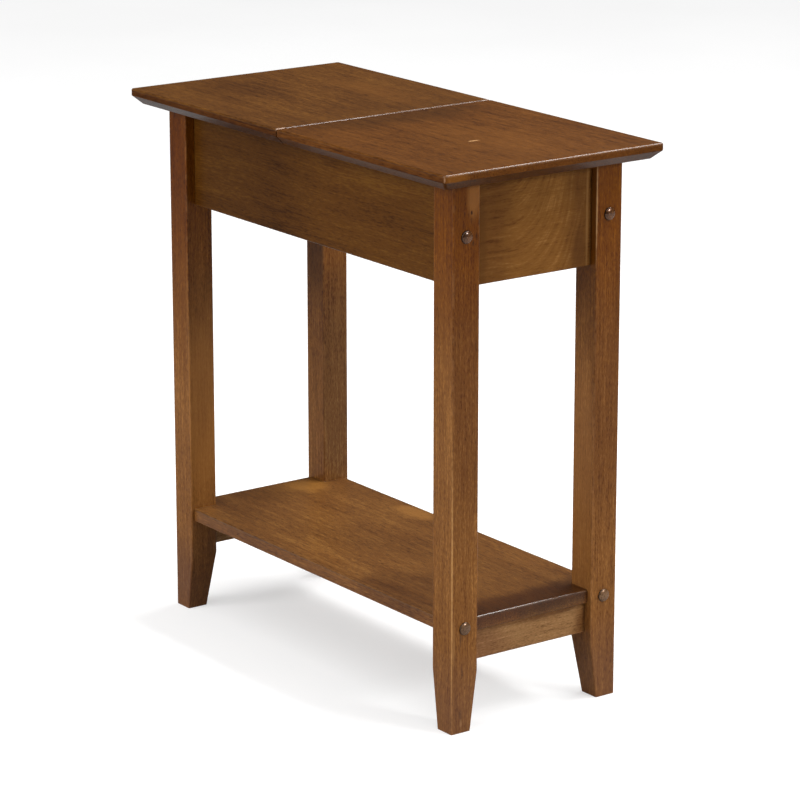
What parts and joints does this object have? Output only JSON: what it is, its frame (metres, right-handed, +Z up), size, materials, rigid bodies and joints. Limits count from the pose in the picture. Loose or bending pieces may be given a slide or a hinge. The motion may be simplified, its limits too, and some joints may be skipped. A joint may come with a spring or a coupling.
{
  "type": "lift top end table",
  "caption": "Narrow wooden end table with square tapered legs, a low shelf, and a bevelled top in two halves, one of which lifts on a hinge over a storage box.",
  "frame": {"origin": "on the floor, under the middle of the top", "axes": "+Z up, +X along the table towards the free end of the lid, +Y across it towards the back"},
  "size_m": [0.5906, 0.2858, 0.6096],
  "materials": {
    "walnut_top": "satin lacquer over a warm brown stain",
    "walnut_leg": "satin lacquer over a warm brown stain",
    "walnut_apron": "satin lacquer over a warm brown stain",
    "walnut_end_panel": "satin lacquer over a warm brown stain",
    "walnut_shelf": "satin lacquer over a warm brown stain",
    "walnut_stretcher": "satin lacquer over a warm brown stain",
    "floor_ply": "stained plywood",
    "batten_wood": "plain sanded wood",
    "dowel_wood": "plain turned wood",
    "hinge_metal": "nickel plated, satin",
    "hinge_screw_metal": "nickel plated, satin",
    "bolt_steel": "zinc plated",
    "screw_steel": "zinc plated",
    "bronze_cap": "dark bronze lacquer, glossy",
    "felt": "pressed felt"
  },
  "bodies": {
    "table": {"fixed_top": "walnut_top", "leg_front_left": "walnut_leg", "leg_front_right": "walnut_leg", "leg_back_left": "walnut_leg", "leg_back_right": "walnut_leg", "apron_front": "walnut_apron", "apron_back": "walnut_apron", "end_panel_left": "walnut_end_panel", "end_panel_right": "walnut_end_panel", "shelf": "walnut_shelf", "stretcher_left": "walnut_stretcher", "stretcher_right": "walnut_stretcher", "compartment_floor": "floor_ply", "seam_batten": "batten_wood", "end_batten": "batten_wood", "dowels_apron_front": "dowel_wood", "dowels_apron_back": "dowel_wood", "dowels_end_panel_left": "dowel_wood", "dowels_end_panel_right": "dowel_wood", "dowels_stretcher": "dowel_wood", "dowels_seam_batten": "dowel_wood", "hinge_leaf_fixed": "hinge_metal", "hinge_pin": "hinge_metal", "hinge_screws_fixed": "hinge_screw_metal", "bolts_apron": "bolt_steel", "bolts_shelf": "bolt_steel", "cross_nuts_apron": "bolt_steel", "cross_nuts_shelf": "bolt_steel", "screws_top": "screw_steel", "screws_end_batten": "screw_steel", "screws_shelf": "screw_steel", "bolt_caps_apron": "bronze_cap", "bolt_caps_shelf": "bronze_cap", "lid_pads": "felt"},
    "lid": {"lid": "walnut_top", "hinge_leaf_lid": "hinge_metal", "hinge_screws_lid": "hinge_screw_metal"}
  },
  "joints": [
    {"name": "lid_hinge", "type": "hinge", "parent": "table", "child": "lid", "pos_m": [-0.003, 0, 0.608], "axis": [0, -1, 0], "range_deg": [0, 100]}
  ]
}
